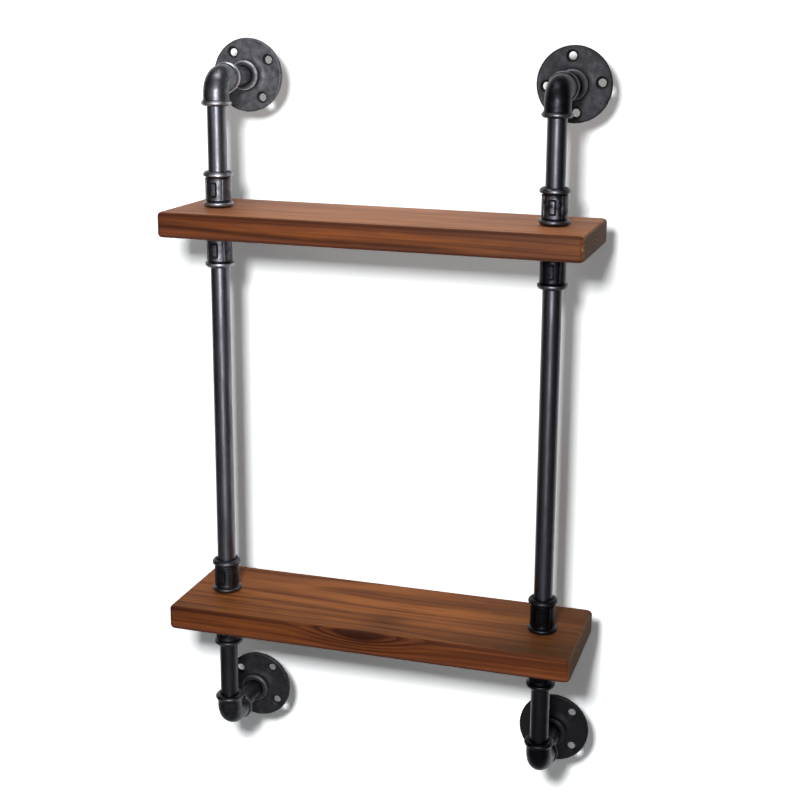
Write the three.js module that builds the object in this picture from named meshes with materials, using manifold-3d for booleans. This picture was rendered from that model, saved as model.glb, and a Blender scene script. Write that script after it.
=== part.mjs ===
// Wall-mounted pipe shelving unit: two solid wood boards carried by two runs of screwed steel pipe.
// Millimetres. x runs along the boards, +z is up, and the wall is the plane y = 0 behind the boards.
// The origin lies on the wall, midway between the four wall flanges.
import * as THREE from "three";
import { mergeVertices } from "three/addons/utils/BufferGeometryUtils.js";
import Module from "manifold-3d";

// Where things stand
const pipeToWall = 90;
const pipeToBoardEnd = 45;
const upperBoardDrop = 143;
const boardPitch = 462;
const lowerBoardRise = 165;

// Boards
const boardLength = 476;
const boardDepth = 140;
const boardThickness = 28;
const boardFrontToPipe = 66;
const boardCornerRadius = 4;
const boardEdgeRound = 3.5;
const boardHoleClearance = 0.6;

// Pipe
const pipeDiameter = 21.3;
const pipeBore = 15.8;

// Screwed joints
const threadEngagement = 13;
const threadClearance = 0.3;
const seatGap = 0.3;

// Straight couplings
const couplingLength = 40;
const couplingBodyDiameter = 28.6;
const couplingBeadDiameter = 33.6;
const couplingBeadLength = 6.4;
const couplingBeadChamfer = 1.7;
const couplingGrooveWidth = 1.2;
const couplingGrooveDepth = 0.7;
const couplingRibCount = 4;
const couplingRibWidth = 2.6;
const couplingRibHeight = 0.9;
const windowWidth = 7.5;
const windowHeight = 16;
const windowDepth = 0.8;

// Ninety degree elbows
const elbowReach = 30;
const elbowBodyDiameter = 29;
const elbowBendRadius = 17;
const elbowBeadDiameter = 34;
const elbowBeadLength = 6;
const elbowBeadChamfer = 1.8;

// Wall flanges
const flangeDiameter = 85;
const flangeThickness = 5;
const flangeRimRound = 1.2;
const flangeHubHeight = 17;
const flangeHubDiameter = 30;
const flangeHubFillet = 2.5;
const flangeBeadDiameter = 34;
const flangeBeadLength = 5;
const flangeBeadChamfer = 1.5;
const screwCircleDiameter = 62;
const screwHoleDiameter = 9;
const screwSinkDiameter = 15;
const screwSinkDepth = 3;
const screwCount = 4;

// How far each flange was screwed round when it came tight, in degrees, seen from the front
const flangeTurn = { upper_left: 35, upper_right: 5, lower_left: 53, lower_right: 46 };

// Facets
const roundSides = 18;
const flangeSides = 24;
const screwSides = 12;
const passageSides = 10;
const bendSteps = 5;
const roundSteps = 2;

// How far a cutting tool runs past the face that it cuts
const overrun = 2;

// Finishes
const pipeSteel = { color: 0x35343a, roughness: 0.32, metalness: 0.9 };
const castIron = { color: 0x3a393d, roughness: 0.5, metalness: 0.8 };
const stainedWood = { color: 0x8a4f30, roughness: 0.5, metalness: 0 };

// Sizes that follow from the values above
const pipeRadius = pipeDiameter / 2;
const socketRadius = pipeRadius + threadClearance;
const pipeSpacing = boardLength - 2 * pipeToBoardEnd;
const flangeRowSpacing = upperBoardDrop + boardPitch + lowerBoardRise;
const upperFlangeZ = flangeRowSpacing / 2;
const lowerFlangeZ = -flangeRowSpacing / 2;
const upperBoardTop = upperFlangeZ - upperBoardDrop;
const lowerBoardTop = upperBoardTop - boardPitch;
const boardBackToPipe = boardDepth - boardFrontToPipe;

const wasm = await Module();
wasm.setup();

// A closed three.js geometry as a solid that can be joined and cut.
function toSolid(geometry) {
  geometry.deleteAttribute("normal");
  geometry.deleteAttribute("uv");
  const welded = mergeVertices(geometry);
  return new wasm.Manifold(
    new wasm.Mesh({
      numProp: 3,
      vertProperties: welded.attributes.position.array,
      triVerts: new Uint32Array(welded.index.array),
    }),
  );
}

// A joined or cut solid as a three.js geometry again.
function toGeometry(body) {
  const mesh = body.getMesh();
  const geometry = new THREE.BufferGeometry();
  geometry.setAttribute("position", new THREE.BufferAttribute(mesh.vertProperties, mesh.numProp));
  geometry.setIndex(new THREE.BufferAttribute(mesh.triVerts, 1));
  return geometry;
}

// A ring turned about the y axis. The profile lists [radius, height] up the outside and down the bore.
function turned(profile, sides) {
  const points = profile.map(([radius, height]) => new THREE.Vector2(radius, height));
  return new THREE.LatheGeometry([...points, points[0]], sides);
}

// A round cutting tool along y, from one height to another.
function cutter(bottomRadius, topRadius, from, to, sides) {
  const tool = new THREE.CylinderGeometry(topRadius, bottomRadius, to - from, sides);
  tool.translate(0, (from + to) / 2, 0);
  return tool;
}

// A bead round a fitting's mouth, whose face is at height zero and whose body lies below it.
function mouthBead(innerRadius, bodyRadius, beadRadius, length, chamfer) {
  return turned(
    [
      [innerRadius, -length],
      [bodyRadius, -length],
      [beadRadius, chamfer - length],
      [beadRadius, -chamfer],
      [beadRadius - chamfer, 0],
      [innerRadius, 0],
    ],
    roundSides,
  );
}

// A length of pipe standing on its lower end.
function pipeGeometry(length) {
  return turned(
    [
      [pipeBore / 2, 0],
      [pipeRadius, 0],
      [pipeRadius, length],
      [pipeBore / 2, length],
    ],
    roundSides,
  );
}

// The outside of a coupling from its middle to one face, as [radius, height] pairs.
function couplingHalfOutline() {
  const half = couplingLength / 2;
  const body = couplingBodyDiameter / 2;
  const bead = couplingBeadDiameter / 2;
  const grooveTop = half - couplingBeadLength;
  return [
    [body, grooveTop - couplingGrooveWidth],
    [body - couplingGrooveDepth, grooveTop],
    [bead, grooveTop + couplingBeadChamfer],
    [bead, half - couplingBeadChamfer],
    [bead - couplingBeadChamfer, half],
  ];
}

// One grip rib of a coupling, standing on its body and running from groove to groove.
function couplingRib(turn) {
  const body = couplingBodyDiameter / 2;
  const length = couplingLength - 2 * (couplingBeadLength + couplingGrooveWidth);
  const root = (body - socketRadius) / 2;
  const rib = new THREE.BoxGeometry(couplingRibWidth, length, root + couplingRibHeight);
  rib.translate(0, 0, body - root + (root + couplingRibHeight) / 2);
  rib.rotateY(turn);
  return rib;
}

// The shallow window cast in the front of a coupling's body.
function couplingWindow() {
  const body = couplingBodyDiameter / 2;
  const outline = roundedRectangle(windowWidth, windowHeight, windowWidth / 4);
  const recess = new THREE.ExtrudeGeometry(outline, {
    depth: overrun + windowDepth,
    bevelEnabled: false,
    curveSegments: 1,
  });
  recess.translate(0, 0, body - windowDepth);
  return recess;
}

// A coupling along y, centred on the origin, with its window facing +z.
function couplingGeometry() {
  const up = couplingHalfOutline();
  const down = up.map(([radius, height]) => [radius, -height]).reverse();
  const half = couplingLength / 2;
  const shell = turned([[socketRadius, -half], ...down, ...up, [socketRadius, half]], roundSides);
  let body = toSolid(shell);
  for (let i = 0; i < couplingRibCount; i++) {
    const turn = ((i + 0.5) * 2 * Math.PI) / couplingRibCount;
    body = body.add(toSolid(couplingRib(turn)));
  }
  return toGeometry(body.subtract(toSolid(couplingWindow())));
}

// The centreline of an elbow: a straight mouth along +y, a quarter bend, and a straight mouth along -z.
class ElbowPath extends THREE.Curve {
  getPoint(t) {
    const straight = elbowReach - elbowBendRadius;
    const steps = bendSteps + 2;
    const place = t * steps;
    if (place < 1) {
      return new THREE.Vector3(0, elbowReach - straight * place, 0);
    }
    if (place > steps - 1) {
      return new THREE.Vector3(0, 0, -elbowBendRadius - straight * (place - steps + 1));
    }
    const angle = (((place - 1) / bendSteps) * Math.PI) / 2;
    const along = elbowBendRadius * (1 - Math.sin(angle));
    const across = elbowBendRadius * (Math.cos(angle) - 1);
    return new THREE.Vector3(0, along, across);
  }
  getPointAt(share) {
    return this.getPoint(share);
  }
}

// A round bar of the given radius that follows an elbow's centreline.
function elbowBar(radius, sides) {
  const section = new THREE.Shape();
  section.absarc(0, 0, radius, 0, 2 * Math.PI);
  return new THREE.ExtrudeGeometry(section, {
    extrudePath: new ElbowPath(),
    steps: bendSteps + 2,
    curveSegments: sides / 2,
  });
}

// An elbow with its centre at the origin, one mouth facing +y and the other facing -z.
function elbowGeometry() {
  const bodyRadius = elbowBodyDiameter / 2;
  const bead = mouthBead(
    (socketRadius + bodyRadius) / 2,
    bodyRadius,
    elbowBeadDiameter / 2,
    elbowBeadLength,
    elbowBeadChamfer,
  );
  bead.translate(0, elbowReach, 0);
  const socket = cutter(
    socketRadius,
    socketRadius,
    elbowReach - threadEngagement - seatGap,
    elbowReach + overrun,
    roundSides,
  );
  const turnDown = -Math.PI / 2;
  return toGeometry(
    toSolid(elbowBar(bodyRadius, roundSides))
      .add(toSolid(bead.clone()))
      .add(toSolid(bead.clone().rotateX(turnDown)))
      .subtract(toSolid(socket.clone()))
      .subtract(toSolid(socket.clone().rotateX(turnDown)))
      .subtract(toSolid(elbowBar(pipeBore / 2, passageSides))),
  );
}

// One countersunk screw hole of a flange, on the screw circle at the given angle.
function screwHole(angle) {
  const hole = screwHoleDiameter / 2;
  const sink = screwSinkDiameter / 2;
  const slope = (sink - hole) / screwSinkDepth;
  const sinkFrom = flangeThickness - screwSinkDepth;
  const shank = cutter(hole, hole, -overrun, flangeThickness + overrun, screwSides);
  const head = cutter(hole, sink + slope * overrun, sinkFrom, flangeThickness + overrun, screwSides);
  const x = (Math.cos(angle) * screwCircleDiameter) / 2;
  const z = (Math.sin(angle) * screwCircleDiameter) / 2;
  return toSolid(shank.translate(x, 0, z)).add(toSolid(head.translate(x, 0, z)));
}

// A flange with its back on y = 0 and its hub standing along +y.
function flangeGeometry(firstHole) {
  const rim = flangeDiameter / 2;
  const hub = flangeHubDiameter / 2;
  const bead = flangeBeadDiameter / 2;
  const beadFrom = flangeHubHeight - flangeBeadLength;
  let body = toSolid(
    turned(
      [
        [socketRadius, 0],
        [rim - flangeRimRound, 0],
        [rim, flangeRimRound],
        [rim, flangeThickness - flangeRimRound],
        [rim - flangeRimRound, flangeThickness],
        [hub + flangeHubFillet, flangeThickness],
        [hub, flangeThickness + flangeHubFillet],
        [hub, beadFrom],
        [bead, beadFrom + flangeBeadChamfer],
        [bead, flangeHubHeight - flangeBeadChamfer],
        [bead - flangeBeadChamfer, flangeHubHeight],
        [socketRadius, flangeHubHeight],
      ],
      flangeSides,
    ),
  );
  for (let i = 0; i < screwCount; i++) {
    body = body.subtract(screwHole(firstHole + (i * 2 * Math.PI) / screwCount));
  }
  return toGeometry(body);
}

// A rectangle centred on the origin with rounded corners.
function roundedRectangle(width, height, radius) {
  const x = width / 2 - radius;
  const y = height / 2 - radius;
  const outline = new THREE.Shape();
  outline.absarc(x, y, radius, 0, Math.PI / 2);
  outline.absarc(-x, y, radius, Math.PI / 2, Math.PI);
  outline.absarc(-x, -y, radius, Math.PI, 1.5 * Math.PI);
  outline.absarc(x, -y, radius, 1.5 * Math.PI, 2 * Math.PI);
  outline.closePath();
  return outline;
}

// A board lying on z = 0 with its pipe holes on the x axis and its front edge towards -y.
function boardGeometry() {
  const plank = new THREE.ExtrudeGeometry(roundedRectangle(boardLength, boardDepth, boardCornerRadius), {
    depth: boardThickness - 2 * boardEdgeRound,
    bevelThickness: boardEdgeRound,
    bevelSize: boardEdgeRound,
    bevelOffset: -boardEdgeRound,
    bevelSegments: roundSteps,
    curveSegments: roundSteps,
  });
  plank.translate(0, (boardBackToPipe - boardFrontToPipe) / 2, boardEdgeRound);
  const holeRadius = pipeRadius + boardHoleClearance;
  let body = toSolid(plank);
  for (const side of [-1, 1]) {
    const drill = cutter(holeRadius, holeRadius, -overrun, boardThickness + overrun, roundSides);
    drill.rotateX(Math.PI / 2);
    drill.translate((side * pipeSpacing) / 2, 0, 0);
    body = body.subtract(toSolid(drill));
  }
  return toGeometry(body);
}

const unit = new THREE.Group();

function addPiece(name, geometry, finish, parent) {
  const mesh = new THREE.Mesh(geometry, new THREE.MeshStandardMaterial(finish));
  mesh.name = name;
  parent.add(mesh);
  return mesh;
}

// A pipe that stands between two heights on its run's axis.
function addStandingPipe(name, from, to, run) {
  const pipe = addPiece(name, pipeGeometry(to - from), pipeSteel, run);
  pipe.rotation.x = Math.PI / 2;
  pipe.position.z = from;
}

// A coupling whose lower face is at the given height, with its window to the front.
function addCoupling(name, from, run) {
  const coupling = addPiece(name, couplingGeometry(), castIron, run);
  coupling.rotation.x = Math.PI / 2;
  coupling.position.z = from + couplingLength / 2;
}

// A flange, its nipple and its elbow. The elbow's free mouth looks down on an upper one, up on a lower one.
function addWallFixing(row, side, height, run) {
  const fixing = new THREE.Group();
  fixing.position.z = height;
  run.add(fixing);
  const place = `${row}_${side}`;
  const firstHole = Math.PI - THREE.MathUtils.degToRad(flangeTurn[place]);
  const flange = addPiece(`flange_${place}`, flangeGeometry(firstHole), castIron, fixing);
  flange.position.y = pipeToWall;
  flange.rotation.z = Math.PI;
  const nippleFrom = elbowReach - threadEngagement;
  const nippleTo = pipeToWall - flangeHubHeight + threadEngagement;
  const nipple = addPiece(`wall_nipple_${place}`, pipeGeometry(nippleTo - nippleFrom), pipeSteel, fixing);
  nipple.position.y = nippleFrom;
  const elbow = addPiece(`elbow_${place}`, elbowGeometry(), castIron, fixing);
  elbow.scale.z = row === "upper" ? 1 : -1;
}

// The nipple through a board and the two couplings that clamp it.
function addBoardJoint(row, side, boardTop, run) {
  const above = boardTop + seatGap;
  const below = boardTop - boardThickness - seatGap;
  addCoupling(`coupling_above_${row}_board_${side}`, above, run);
  addCoupling(`coupling_below_${row}_board_${side}`, below - couplingLength, run);
  addStandingPipe(`board_nipple_${row}_${side}`, below - threadEngagement, above + threadEngagement, run);
}

// The top of the upper coupling's thread over a board, and the foot of the lower coupling's under it.
const pipeFootOver = (boardTop) => boardTop + seatGap + couplingLength - threadEngagement;
const pipeHeadUnder = (boardTop) => boardTop - boardThickness - seatGap - couplingLength + threadEngagement;

for (const [side, sign] of [
  ["left", -1],
  ["right", 1],
]) {
  const run = new THREE.Group();
  run.position.set((sign * pipeSpacing) / 2, -pipeToWall, 0);
  unit.add(run);
  const elbowMouth = elbowReach - threadEngagement;
  addWallFixing("upper", side, upperFlangeZ, run);
  addStandingPipe(`riser_${side}`, pipeFootOver(upperBoardTop), upperFlangeZ - elbowMouth, run);
  addBoardJoint("upper", side, upperBoardTop, run);
  addStandingPipe(`long_pipe_${side}`, pipeFootOver(lowerBoardTop), pipeHeadUnder(upperBoardTop), run);
  addBoardJoint("lower", side, lowerBoardTop, run);
  addStandingPipe(`drop_pipe_${side}`, lowerFlangeZ + elbowMouth, pipeHeadUnder(lowerBoardTop), run);
  addWallFixing("lower", side, lowerFlangeZ, run);
}

for (const [name, top] of [
  ["upper_board", upperBoardTop],
  ["lower_board", lowerBoardTop],
]) {
  const board = addPiece(name, boardGeometry(), stainedWood, unit);
  board.position.set(0, -pipeToWall, top - boardThickness);
}

export default unit;
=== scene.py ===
"""Wall-mounted pipe shelving unit: two stained boards clamped on two runs of screwed steel pipe.

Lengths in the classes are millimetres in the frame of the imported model: x along the boards, -y to
the room, +z up, with the wall at y = 0. Meshes are made in metres, each in its own place.
"""
import logging
import math
from collections.abc import Sequence
from dataclasses import dataclass
from enum import Enum

import bmesh
import bpy
from bpy.types import ID, Material, Mesh, Node, NodeSocket, NodeTree, Object
from mathutils import Matrix, Vector


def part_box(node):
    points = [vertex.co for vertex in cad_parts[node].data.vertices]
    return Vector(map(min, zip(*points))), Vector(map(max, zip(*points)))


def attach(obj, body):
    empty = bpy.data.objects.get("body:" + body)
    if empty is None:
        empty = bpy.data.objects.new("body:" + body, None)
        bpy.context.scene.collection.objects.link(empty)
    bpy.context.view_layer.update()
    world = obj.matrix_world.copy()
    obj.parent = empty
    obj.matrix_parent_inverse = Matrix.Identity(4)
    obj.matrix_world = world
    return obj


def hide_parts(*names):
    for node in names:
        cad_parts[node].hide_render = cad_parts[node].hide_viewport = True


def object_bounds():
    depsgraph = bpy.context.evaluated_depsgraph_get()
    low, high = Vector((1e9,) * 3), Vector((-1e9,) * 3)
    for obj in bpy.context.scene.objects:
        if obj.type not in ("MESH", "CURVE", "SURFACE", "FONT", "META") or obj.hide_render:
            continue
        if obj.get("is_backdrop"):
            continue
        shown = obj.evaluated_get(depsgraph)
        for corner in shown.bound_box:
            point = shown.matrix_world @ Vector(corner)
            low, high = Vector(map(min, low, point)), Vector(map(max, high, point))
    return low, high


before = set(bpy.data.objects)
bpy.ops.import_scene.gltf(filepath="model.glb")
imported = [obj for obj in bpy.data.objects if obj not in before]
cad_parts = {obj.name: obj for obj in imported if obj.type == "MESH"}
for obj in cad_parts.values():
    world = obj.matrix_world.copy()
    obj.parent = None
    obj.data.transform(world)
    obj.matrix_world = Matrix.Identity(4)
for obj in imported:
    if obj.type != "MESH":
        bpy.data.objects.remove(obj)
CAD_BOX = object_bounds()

LOG = logging.getLogger("pipe_shelving_unit")

MM = 0.001
Colour = tuple[float, float, float]
Triple = tuple[float, float, float]
Pair = tuple[float, float]
Values = dict[str | int, object]
ORIGIN: Triple = (0.0, 0.0, 0.0)


def srgb(*levels: int) -> Colour:
    """Turn a colour as a screen shows it into the linear values that shaders take.

    Args:
        levels: Red, green and blue from 0 to 255.

    Returns:
        Red, green and blue from 0 to 1.
    """
    toe, toe_slope, lift, power = 0.04045, 12.92, 0.055, 2.4
    shares = (level / 255 for level in levels)
    return tuple(s / toe_slope if s <= toe else ((s + lift) / (1 + lift)) ** power for s in shares)


def linked(name: str, data: ID) -> Object:
    """Put a new object into the scene.

    Args:
        name: The object's name.
        data: Its mesh, lamp or camera.

    Returns:
        The object.
    """
    item = bpy.data.objects.new(name, data)
    bpy.context.scene.collection.objects.link(item)
    return item


# Node graphs


class NodeGraph:
    """A node tree with one way to add a node."""

    def __init__(self, tree: NodeTree) -> None:
        """Keep the tree."""
        self.tree = tree

    def feed(self, socket: NodeSocket, value: object) -> None:
        """Give a socket a link or a constant.

        Args:
            socket: The input socket.
            value: A Channel, an output socket, or a constant.
        """
        value = value.socket if isinstance(value, Channel) else value
        if isinstance(value, NodeSocket):
            self.tree.links.new(value, socket)
        elif socket.type == "RGBA":
            socket.default_value = (*value, 1.0)
        else:
            socket.default_value = value

    def node(self, kind: str, settings: Values | None = None, sockets: Values | None = None) -> Node:
        """Add any node.

        Args:
            kind: The node's type name.
            settings: Its properties, set first.
            sockets: Its input values or links, by name or by index. A list feeds several links.

        Returns:
            The node.
        """
        node = self.tree.nodes.new(kind)
        for name, value in (settings or {}).items():
            setattr(node, name, value)
        for name, value in (sockets or {}).items():
            for single in value if isinstance(value, list) else [value]:
                self.feed(node.inputs[name], single)
        return node

    def maths(self, operation: str, *values: object) -> "Channel":
        """Add a Math node, with its inputs in order."""
        node = self.node("ShaderNodeMath", {"operation": operation}, dict(enumerate(values)))
        return Channel(self, node.outputs[0])

    def joined(self, x: object = 0.0, y: object = 0.0, z: object = 0.0) -> NodeSocket:
        """Join three numbers or channels to a vector."""
        return self.node("ShaderNodeCombineXYZ", sockets={"X": x, "Y": y, "Z": z}).outputs[0]


@dataclass(frozen=True, eq=False)
class Channel:
    """A number that varies over a surface: a socket that takes part in arithmetic."""

    graph: NodeGraph
    socket: NodeSocket

    def __add__(self, other: object) -> "Channel":
        """Add."""
        return self.graph.maths("ADD", self, other)

    __radd__ = __add__

    def __sub__(self, other: object) -> "Channel":
        """Subtract."""
        return self.graph.maths("SUBTRACT", self, other)

    def __rsub__(self, other: object) -> "Channel":
        """Subtract this from a number."""
        return self.graph.maths("SUBTRACT", other, self)

    def __mul__(self, other: object) -> "Channel":
        """Multiply."""
        return self.graph.maths("MULTIPLY", self, other)

    __rmul__ = __mul__

    def __truediv__(self, other: object) -> "Channel":
        """Divide."""
        return self.graph.maths("DIVIDE", self, other)

    def __abs__(self) -> "Channel":
        """Drop the sign."""
        return self.graph.maths("ABSOLUTE", self)

    def root(self) -> "Channel":
        """Take the square root."""
        return self.graph.maths("SQRT", self)

    def fraction(self) -> "Channel":
        """Keep what follows the point."""
        return self.graph.maths("FRACT", self)

    def at_most(self, other: object) -> "Channel":
        """Take the lesser."""
        return self.graph.maths("MINIMUM", self, other)

    def at_least(self, other: object) -> "Channel":
        """Take the greater."""
        return self.graph.maths("MAXIMUM", self, other)

    def rise(self, low: float, high: float) -> "Channel":
        """Go smoothly from 0 to 1 between two values.

        Args:
            low: Where the result leaves 0.
            high: Where it reaches 1. It may be less than low, for a fall.

        Returns:
            The eased channel.
        """
        if low > high:
            return 1 - self.rise(high, low)
        sockets = {"Value": self, "From Min": low, "From Max": high}
        node = self.graph.node("ShaderNodeMapRange", {"interpolation_type": "SMOOTHSTEP"}, sockets)
        return Channel(self.graph, node.outputs["Result"])

    def hump(self, centre: object, width: float) -> "Channel":
        """Fall off smoothly from 1 on both sides of a centre, to about a third at a width from it."""
        offset = (self - centre) / width
        return self.graph.maths("EXPONENT", offset * offset * -1.0)


def spot(axes: Sequence[Channel], centre: Sequence[float], sizes: Sequence[float]) -> Channel:
    """Multiply the humps of several axes to a soft spot of the given sizes round a centre."""
    return math.prod(axis.hump(at, size) for axis, at, size in zip(axes, centre, sizes))


def weighed(weights: Sequence[float], *channels: Channel) -> Channel:
    """Add up channels, each times its weight."""
    return sum(channel * weight for channel, weight in zip(channels, weights))


@dataclass(frozen=True)
class Grain:
    """Soft noise: its patches' sizes, its finer layers and their strength, its swirl and its start.

    fade is where a tone made from the noise leaves 0 and where it is full. weight is how much the
    noise, or its tone, counts where it is used.
    """

    sizes: Triple
    layers: float = 2.0
    roughness: float = 0.5
    swirl: float = 0.0
    start: Triple = ORIGIN
    fade: Pair = (0.3, 0.72)
    weight: float = 1.0

    def tone(self, noise: Channel) -> Channel:
        """Weigh the noise for a finish's tone."""
        return noise.rise(*self.fade) * self.weight


@dataclass(frozen=True)
class Zone:
    """A place where each of several channels has passed its own limits, and its weight."""

    limits: tuple[Pair, ...]
    weight: float = 1.0

    def of(self, *channels: Channel) -> Channel:
        """Be the weight where every channel is past its limits, and fade to 0."""
        return math.prod(c.rise(*limits) for c, limits in zip(channels, self.limits)) * self.weight


@dataclass(frozen=True)
class Coat:
    """A colour laid on where a channel passes from one value to another."""

    colour: Colour
    fade: Pair
    strength: float

    def on(self, channel: Channel, mask: object = 1.0) -> tuple[Colour, Channel]:
        """Give the coat's colour and its share."""
        return self.colour, channel.rise(*self.fade) * mask * self.strength


class ShaderGraph(NodeGraph):
    """The nodes of one material, on the object's own coordinates."""

    def __init__(self, name: str, seed: float = 1.0) -> None:
        """Make an empty material.

        Args:
            name: The material's name.
            seed: What the starts of its noises are multiplied by.
        """
        self.material = bpy.data.materials.new(name)
        self.material.use_nodes = True
        self.seed = seed
        super().__init__(self.material.node_tree)
        self.tree.nodes.clear()

    def mapped(self, vector: NodeSocket, scale: Triple, shift: Triple = ORIGIN) -> NodeSocket:
        """Scale coordinates, then shift them."""
        sockets = {"Vector": vector, "Scale": scale, "Location": shift}
        return self.node("ShaderNodeMapping", sockets=sockets).outputs[0]

    def local(self, centre: Triple = ORIGIN) -> NodeSocket:
        """Coordinates in millimetres from a point of the model, given in millimetres."""
        coordinates = self.node("ShaderNodeTexCoord").outputs["Object"]
        return self.mapped(coordinates, (1 / MM,) * 3, tuple(-c for c in centre))

    def axes(self, vector: NodeSocket) -> tuple[Channel, Channel, Channel]:
        """Part a vector into its x, y and z."""
        node = self.node("ShaderNodeSeparateXYZ", sockets={0: vector})
        return tuple(Channel(self, output) for output in node.outputs)

    def noise(self, vector: NodeSocket, grain: Grain) -> Channel:
        """Lay soft noise over a surface.

        Args:
            vector: Coordinates in millimetres.
            grain: The look of the noise.

        Returns:
            The noise, about 0.5 on the whole.
        """
        shift = tuple(self.seed * part for part in grain.start)
        spread = self.mapped(vector, tuple(1 / size for size in grain.sizes), shift)
        sockets = {"Vector": spread, "Scale": 1.0, "Detail": grain.layers}
        sockets |= {"Roughness": grain.roughness, "Distortion": grain.swirl}
        return Channel(self, self.node("ShaderNodeTexNoise", sockets=sockets).outputs["Fac"])

    def cells(self, vector: NodeSocket, size: float) -> Channel:
        """Distance to the nearest of the scattered points, for pits."""
        sockets = {"Vector": self.mapped(vector, (1 / size,) * 3), "Scale": 1.0}
        return Channel(self, self.node("ShaderNodeTexVoronoi", sockets=sockets).outputs["Distance"])

    def layered(self, colour: object, *layers: tuple[object, object]) -> NodeSocket:
        """Lay colours over each other.

        Args:
            colour: The lowest.
            layers: The others from the lowest up, each with its share.

        Returns:
            The mixed colour.
        """
        share_in, lower_in, upper_in, colour_out = 0, 6, 7, 2
        for upper, share in layers:
            sockets = {share_in: share, lower_in: colour, upper_in: upper}
            colour = self.node("ShaderNodeMix", {"data_type": "RGBA"}, sockets).outputs[colour_out]
        return colour

    def bump(self, height: Channel, distance: float, strength: float = 0.6) -> NodeSocket:
        """A normal that is tilted by a height of so many millimetres."""
        sockets = {"Height": height, "Distance": distance * MM, "Strength": strength}
        return self.node("ShaderNodeBump", sockets=sockets).outputs[0]

    def close(self, shader: NodeSocket) -> Material:
        """End the material in a shader."""
        self.node("ShaderNodeOutputMaterial", sockets={"Surface": shader})
        return self.material

    def finish(self, sockets: Values) -> Material:
        """End the material in a Principled shader with the given values and links."""
        return self.close(self.node("ShaderNodeBsdfPrincipled", sockets=sockets).outputs[0])


class GrowthGraph(NodeGraph):
    """A geometry node tree with named inputs, which works on one mesh."""

    def __init__(self, name: str, finish: Material, sizes: dict[str, object]) -> None:
        """Make the tree with an input for the mesh, one for its finish and one for each size.

        Args:
            name: The tree's name.
            finish: The result's finish.
            sizes: The values of the other inputs by name.
        """
        super().__init__(bpy.data.node_groups.new(name, "GeometryNodeTree"))
        kinds = {Material: "Material", Object: "Object", int: "Int", float: "Float", tuple: "Vector"}
        self.values = {"Finish": finish, **sizes}
        self.tree.interface.new_socket("Geometry", in_out="INPUT", socket_type="NodeSocketGeometry")
        self.tree.interface.new_socket("Geometry", in_out="OUTPUT", socket_type="NodeSocketGeometry")
        for label, value in self.values.items():
            kind = next(kind for sort, kind in kinds.items() if isinstance(value, sort))
            self.tree.interface.new_socket(label, in_out="INPUT", socket_type=f"NodeSocket{kind}")
        self.entry = self.node("NodeGroupInput").outputs

    def solids(self, operation: str, sockets: Values) -> NodeSocket:
        """Join or cut solids exactly."""
        settings = {"operation": operation, "solver": "EXACT"}
        return self.node("GeometryNodeMeshBoolean", settings, sockets).outputs[0]

    def tool(self, kind: str, shape: Values, place: Values) -> NodeSocket:
        """Make a simple solid of one kind, and shift, turn or scale it."""
        solid = self.node(f"GeometryNodeMesh{kind}", sockets=shape).outputs[0]
        return self.node("GeometryNodeTransform", sockets={"Geometry": solid, **place}).outputs[0]

    def around(self, tool: NodeSocket) -> NodeSocket:
        """Repeat a tool round the z axis, as the inputs Count and First Turn say.

        Args:
            tool: The geometry to repeat, already at its distance from the axis.

        Returns:
            The real geometry of all of them.
        """
        count = self.entry["Count"]
        index = self.node("GeometryNodeInputIndex").outputs[0]
        angle = self.maths("DIVIDE", math.tau, count) * index + self.entry["First Turn"]
        turn = self.node("FunctionNodeEulerToRotation", sockets={0: self.joined(z=angle)}).outputs[0]
        places = self.node("GeometryNodePoints", sockets={"Count": count}).outputs[0]
        sockets = {"Points": places, "Instance": tool, "Rotation": turn}
        instances = self.node("GeometryNodeInstanceOnPoints", sockets=sockets).outputs[0]
        return self.node("GeometryNodeRealizeInstances", sockets={0: instances}).outputs[0]

    def grow(self, base: Mesh, geometry: NodeSocket) -> Mesh:
        """End the tree in Realize Instances and Set Material, and run it on a mesh.

        Args:
            base: The mesh to start from.
            geometry: What the tree makes of it.

        Returns:
            The result as a plain mesh.
        """
        real = self.node("GeometryNodeRealizeInstances", sockets={0: geometry}).outputs[0]
        sockets = {"Geometry": real, "Material": self.entry["Finish"]}
        dressed = self.node("GeometryNodeSetMaterial", sockets=sockets).outputs[0]
        self.node("NodeGroupOutput", sockets={0: dressed})
        carrier = linked("carrier", base)
        modifier = carrier.modifiers.new("growth", "NODES")
        modifier.node_group = self.tree
        for item in self.tree.interface.items_tree:
            if item.name in self.values:
                modifier[item.identifier] = self.values[item.name]
        depsgraph = bpy.context.evaluated_depsgraph_get()
        result = bpy.data.meshes.new_from_object(carrier.evaluated_get(depsgraph))
        bpy.data.objects.remove(carrier)
        return result


# Mesh tools


@dataclass(frozen=True)
class Corner:
    """One corner of an outline: its distance from the axis, its place along it and its rounding."""

    radius: float
    along: float
    fillet: float = 0.0


def doubled(corners: Sequence[Corner], total: float = 0.0) -> list[Corner]:
    """Follow an outline by its mirror image, in which a place and its image add up to a total."""
    return [*corners, *(Corner(c.radius, total - c.along, c.fillet) for c in reversed(corners))]


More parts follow.
